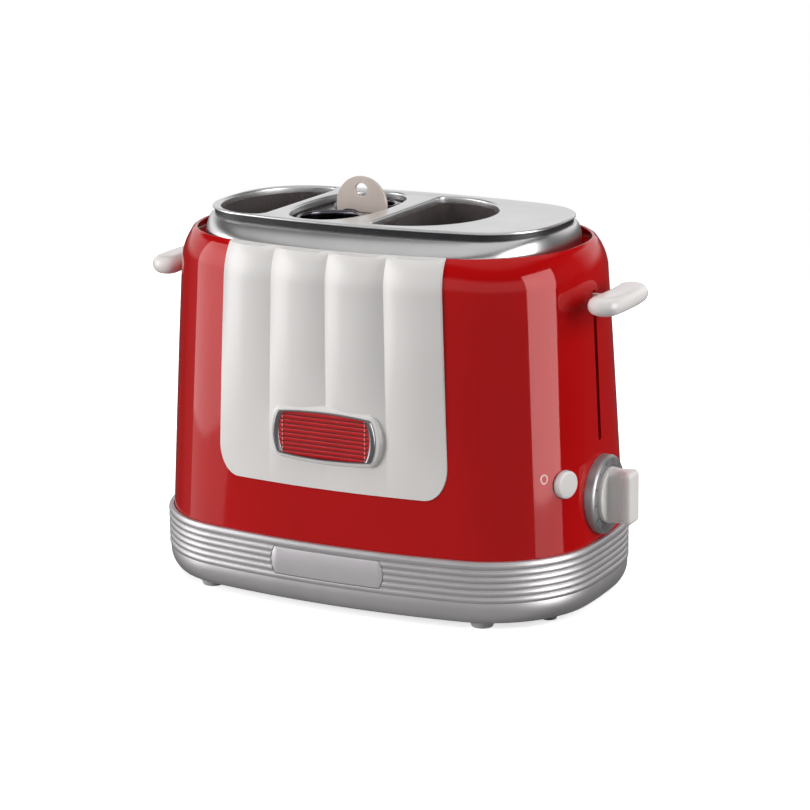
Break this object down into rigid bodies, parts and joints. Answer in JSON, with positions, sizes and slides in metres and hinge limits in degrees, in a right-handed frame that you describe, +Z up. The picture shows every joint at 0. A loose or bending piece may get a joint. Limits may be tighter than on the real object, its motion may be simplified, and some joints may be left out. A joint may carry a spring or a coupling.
{
  "type": "hot dog toaster",
  "caption": "Countertop hot dog toaster with two bun slots, a lift-out sausage cage, end levers, a timer knob, a stop button and a rear crumb tray.",
  "frame": {"origin": "on the standing surface, under the middle of the overall box", "axes": "+X to the end with the knob, the front panel faces -Y, +Z up"},
  "size_m": [0.313, 0.1786, 0.2411],
  "materials": {
    "red_gloss": "high gloss",
    "white_gloss": "gloss",
    "silver_satin": "satin silver lacquer",
    "cover_steel": "satin, with a polished bead",
    "chamber_steel": "plain sheet",
    "cage_steel": "heat-darkened",
    "tab_steel": "satin",
    "bezel_chrome": "polished",
    "inlay_red": "gloss with fine ribs",
    "dial_silver": "satin silver",
    "grey_rubber": "matte",
    "mica": "matte, wound with flat wire",
    "spring_steel": "bright wire",
    "copper": "enamelled copper",
    "iron": "plain",
    "board_green": "circuit board",
    "black_plastic": "matte",
    "cleat_grey": "matte"
  },
  "bodies": {
    "housing": {"plinth": "silver_satin", "base_pan": "cleat_grey", "feet": "grey_rubber", "name_plate": "silver_satin", "deck": "chamber_steel", "cord_gland": "black_plastic", "body_shell": "red_gloss", "front_panel": "white_gloss", "badge_bezel": "bezel_chrome", "badge_inlay": "inlay_red", "top_cover": "cover_steel", "slot_plate": "cover_steel", "bun_liner_left": "chamber_steel", "sausage_liner": "chamber_steel", "bun_liner_right": "chamber_steel", "heater_outer_left": "mica", "heater_inner_left": "mica", "heater_inner_right": "mica", "heater_outer_right": "mica", "end_frame_left": "chamber_steel", "end_frame_right": "chamber_steel", "guide_bar_left": "chamber_steel", "guide_bar_right": "chamber_steel", "return_spring_left": "spring_steel", "return_spring_right": "spring_steel", "magnet_core": "iron", "magnet_coil": "copper", "control_board": "board_green", "timer": "black_plastic", "dial_ring": "dial_silver", "button_guide": "black_plastic"},
    "carriage": {"slider_left": "chamber_steel", "slider_right": "chamber_steel", "lever_left": "white_gloss", "lever_right": "white_gloss", "carriage_beam": "chamber_steel", "bun_rack_left": "chamber_steel", "bun_rack_right": "chamber_steel", "sausage_rack": "chamber_steel", "armature": "chamber_steel"},
    "cage": {"cage_plate": "cage_steel", "cage_tube_front": "cage_steel", "cage_tube_rear": "cage_steel", "cage_tab": "tab_steel"},
    "knob": {"knob": "white_gloss", "knob_shaft": "spring_steel"},
    "stop_button": {"stop_button": "white_gloss"},
    "crumb_tray": {"crumb_tray": "chamber_steel", "tray_front": "silver_satin"}
  },
  "joints": [
    {"name": "carriage_slide", "type": "slide", "parent": "housing", "child": "carriage", "axis": [0, 0, 1], "range_m": [-0.075, 0], "stiffness_N_per_m": 60, "springref_m": 0.12, "deforming": ["return_spring_left", "return_spring_right"]},
    {"name": "cage_lift", "type": "slide", "parent": "carriage", "child": "cage", "axis": [0, 0, 1], "range_m": [0, 0.115]},
    {"name": "knob_turn", "type": "hinge", "parent": "housing", "child": "knob", "pos_m": [0.14, 0, 0.0665], "axis": [1, 0, 0], "range_deg": [-270, 0]},
    {"name": "stop_press", "type": "slide", "parent": "housing", "child": "stop_button", "axis": [-0.9397, 0.342, 0], "range_m": [0, 0.0022], "stiffness_N_per_m": 300, "springref_m": -0.003},
    {"name": "tray_pull", "type": "slide", "parent": "housing", "child": "crumb_tray", "axis": [0, 1, 0], "range_m": [0, 0.15]}
  ]
}
